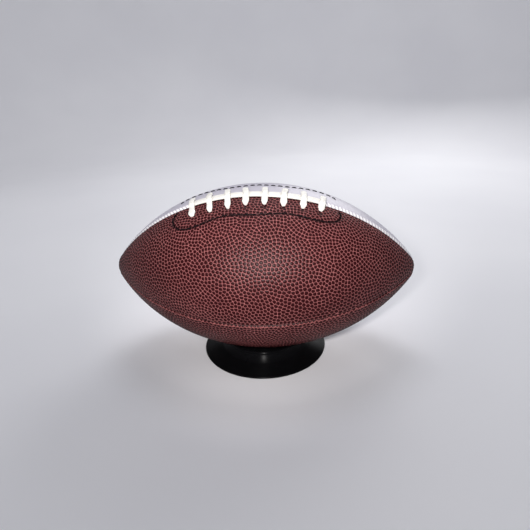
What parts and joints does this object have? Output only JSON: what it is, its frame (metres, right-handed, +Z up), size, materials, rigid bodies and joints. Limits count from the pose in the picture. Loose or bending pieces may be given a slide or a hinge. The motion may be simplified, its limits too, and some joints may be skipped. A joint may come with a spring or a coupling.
{
  "type": "display football on a stand ring",
  "caption": "Laced football with pebbled brown and smooth white panels, at rest on a low round flared stand ring that it lifts off.",
  "frame": {"origin": "centre of the stand ring's foot, on the surface that it stands on", "axes": "+Z up; +X along the ball's long axis; -Y towards the side that shows the laced brown panel"},
  "size_m": [0.28, 0.154, 0.1642],
  "materials": {
    "stand_plastic": "glossy black moulded plastic",
    "pebbled_leather": "pebbled, semi-gloss, dark red-brown",
    "white_leather": "smooth, satin, white",
    "lining_fabric": "woven cotton backing",
    "bladder_rubber": "smooth butyl rubber",
    "valve_rubber": "matte rubber",
    "facing_leather": "plain split leather",
    "lace_vinyl": "soft white vinyl strap",
    "dark_thread": "waxed black thread",
    "seam_thread": "waxed linen thread"
  },
  "bodies": {
    "stand": {"stand_ring": "stand_plastic"},
    "ball": {"cover_front_upper": "pebbled_leather", "cover_front_lower": "pebbled_leather", "cover_rear_lower": "white_leather", "cover_rear_upper": "white_leather", "lining_front_upper": "lining_fabric", "lining_front_lower": "lining_fabric", "lining_rear_lower": "lining_fabric", "lining_rear_upper": "lining_fabric", "bladder": "bladder_rubber", "valve_housing": "valve_rubber", "valve_core": "valve_rubber", "seam_thread_laced": "seam_thread", "seam_thread_front": "seam_thread", "seam_thread_bottom": "seam_thread", "seam_thread_rear": "seam_thread", "lace_facing_front": "facing_leather", "lace_facing_rear": "facing_leather", "lace_guard": "facing_leather", "lace_long_run": "lace_vinyl", "lace_cross_1": "lace_vinyl", "lace_cross_2": "lace_vinyl", "lace_cross_3": "lace_vinyl", "lace_cross_4": "lace_vinyl", "lace_cross_5": "lace_vinyl", "lace_cross_6": "lace_vinyl", "lace_cross_7": "lace_vinyl", "lace_cross_8": "lace_vinyl", "lace_inner_runs_front": "lace_vinyl", "lace_inner_runs_rear": "lace_vinyl", "facing_stitches_front": "dark_thread", "facing_stitches_rear": "dark_thread"}
  },
  "joints": [
    {"name": "lift_off", "type": "slide", "parent": "stand", "child": "ball", "axis": [0, 0, 1], "range_m": [0, 0.12]}
  ]
}
